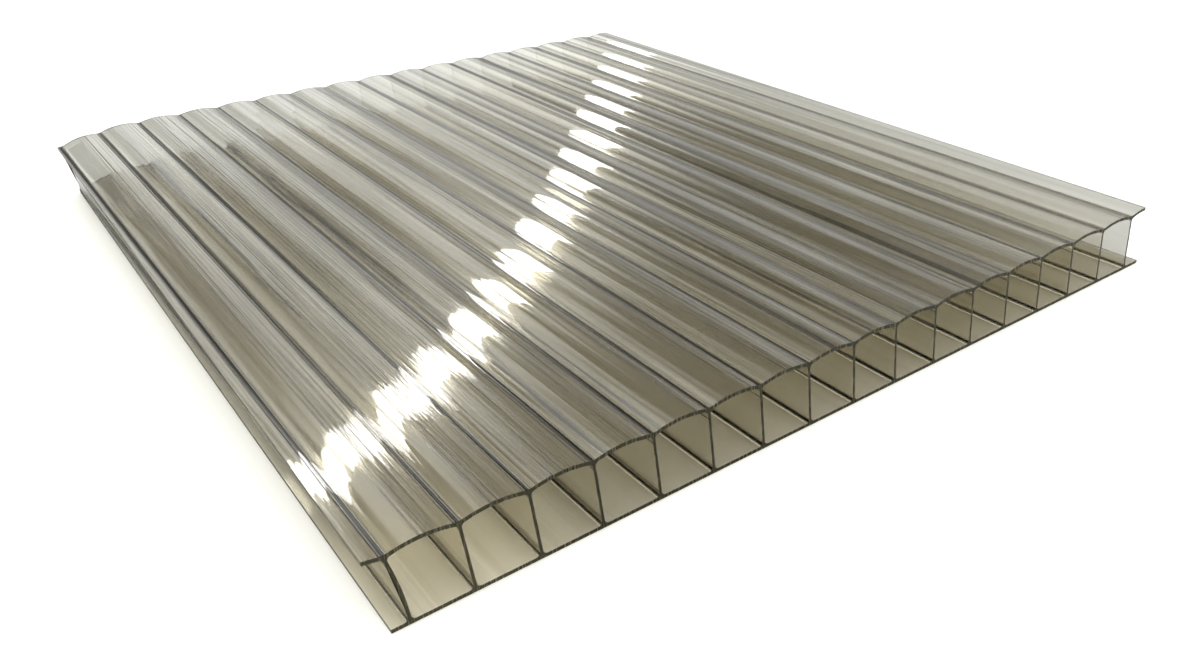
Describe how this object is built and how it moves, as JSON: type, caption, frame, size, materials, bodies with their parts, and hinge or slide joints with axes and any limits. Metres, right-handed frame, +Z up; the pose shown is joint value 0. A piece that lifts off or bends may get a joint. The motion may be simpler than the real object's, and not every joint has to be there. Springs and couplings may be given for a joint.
{
  "type": "multiwall polycarbonate sheet",
  "caption": "Clear smoke-bronze twin-wall polycarbonate sheet with a row of open flutes between a flat bottom skin and a crowned top skin, cut to a hand-sized panel.",
  "frame": {"origin": "on the underside, below the middle of the sheet's bounding box", "axes": "+Z up through the sheet, out of the crowned skin; +Y along the flutes; +X across them"},
  "size_m": [0.1024, 0.12, 0.0078],
  "materials": {
    "polycarbonate": "clear smoke-bronze tint, glossy as extruded, sawn edges darker"
  },
  "bodies": {
    "root": {"sheet": "polycarbonate"}
  },
  "joints": []
}
